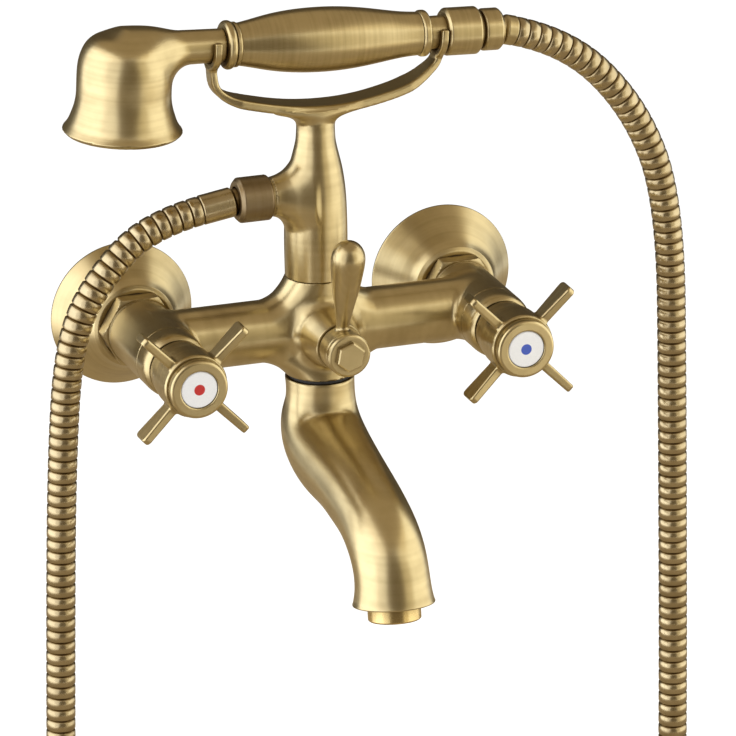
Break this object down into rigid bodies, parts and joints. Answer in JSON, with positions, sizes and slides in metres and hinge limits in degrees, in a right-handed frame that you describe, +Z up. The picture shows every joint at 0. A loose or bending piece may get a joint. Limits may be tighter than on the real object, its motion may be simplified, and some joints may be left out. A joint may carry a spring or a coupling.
{
  "type": "bath shower mixer",
  "caption": "Wall-mounted bath shower mixer in antique brass: cross handles, lever diverter, swan spout, cradle handset on a ribbed hose",
  "frame": {"origin": "on the wall face, midway between the two wall threads of the eccentric unions, on the line that joins their axes", "axes": "X along the wall to the right as seen from the front, +Y into the wall, +Z up"},
  "size_m": [0.3059, 0.1778, 0.6621],
  "materials": {
    "antique_brass": "satin, brushed",
    "dark_brass": "satin, knurled",
    "hose_brass": "satin, ribbed",
    "plain_brass": "machined",
    "polished_brass": "smooth",
    "seal_rubber": "matte",
    "valve_ceramic": "lapped",
    "screw_steel": "machined",
    "nylon": "matte",
    "white_enamel": "glazed"
  },
  "bodies": {
    "fixture": {"escutcheon_left": "antique_brass", "escutcheon_right": "antique_brass", "shroud_left": "antique_brass", "shroud_right": "antique_brass", "union_nut_left": "antique_brass", "union_nut_right": "antique_brass", "mixer_body": "antique_brass", "riser": "antique_brass", "riser_ferrule": "antique_brass", "riser_nut": "dark_brass", "hose_loop": "hose_brass", "hose_left": "hose_brass", "eccentric_union_left": "plain_brass", "eccentric_union_right": "plain_brass", "inlet_nipple_left": "plain_brass", "inlet_nipple_right": "plain_brass", "headwork_left": "plain_brass", "headwork_right": "plain_brass", "diverter_gland": "plain_brass", "spout_nipple": "plain_brass", "inlet_gasket_left": "seal_rubber", "inlet_gasket_right": "seal_rubber", "seat_seal_left": "seal_rubber", "seat_seal_right": "seal_rubber", "spout_rings": "seal_rubber", "spout_washer": "seal_rubber", "fixed_disc_left": "valve_ceramic", "fixed_disc_right": "valve_ceramic"},
    "hot_handle": {"handle_left": "antique_brass", "handle_screw_left": "screw_steel", "index_cap_left": "antique_brass", "index_disc_left": "white_enamel", "spindle_left": "plain_brass", "spindle_ring_left": "seal_rubber", "moving_disc_left": "valve_ceramic"},
    "cold_handle": {"handle_right": "antique_brass", "handle_screw_right": "screw_steel", "index_cap_right": "antique_brass", "index_disc_right": "white_enamel", "spindle_right": "plain_brass", "spindle_ring_right": "seal_rubber", "moving_disc_right": "valve_ceramic"},
    "diverter": {"diverter_spindle": "plain_brass", "diverter_ring": "seal_rubber", "diverter_lever": "antique_brass", "diverter_cap": "antique_brass"},
    "spout": {"spout": "antique_brass", "spout_screw": "screw_steel", "aerator_housing": "polished_brass", "aerator_insert": "nylon"},
    "handset": {"handset_head": "antique_brass", "rose_plate": "polished_brass", "inner_tube": "plain_brass", "ring_left": "antique_brass", "grip": "antique_brass", "ring_right": "antique_brass", "collar": "antique_brass", "handset_nut": "antique_brass", "handset_ferrule": "antique_brass", "hose_right": "hose_brass"}
  },
  "joints": [
    {"name": "hot_tap", "type": "hinge", "parent": "fixture", "child": "hot_handle", "pos_m": [-0.075, -0.09, 0.008], "axis": [0, -1, 0], "range_deg": [0, 90]},
    {"name": "cold_tap", "type": "hinge", "parent": "fixture", "child": "cold_handle", "pos_m": [0.075, -0.09, 0.008], "axis": [0, 1, 0], "range_deg": [0, 90]},
    {"name": "diverter_turn", "type": "hinge", "parent": "fixture", "child": "diverter", "pos_m": [0, -0.08, 0.008], "axis": [0, -1, 0], "range_deg": [-45, 45]},
    {"name": "spout_swivel", "type": "hinge", "parent": "fixture", "child": "spout", "pos_m": [0, -0.05, -0.022], "axis": [0, 0, 1], "range_deg": [-60, 60]},
    {"name": "handset_lift", "type": "slide", "parent": "fixture", "child": "handset", "axis": [0.0482, 0, 0.9988], "range_m": [0, 0.06], "deforming": ["hose_loop"]}
  ]
}
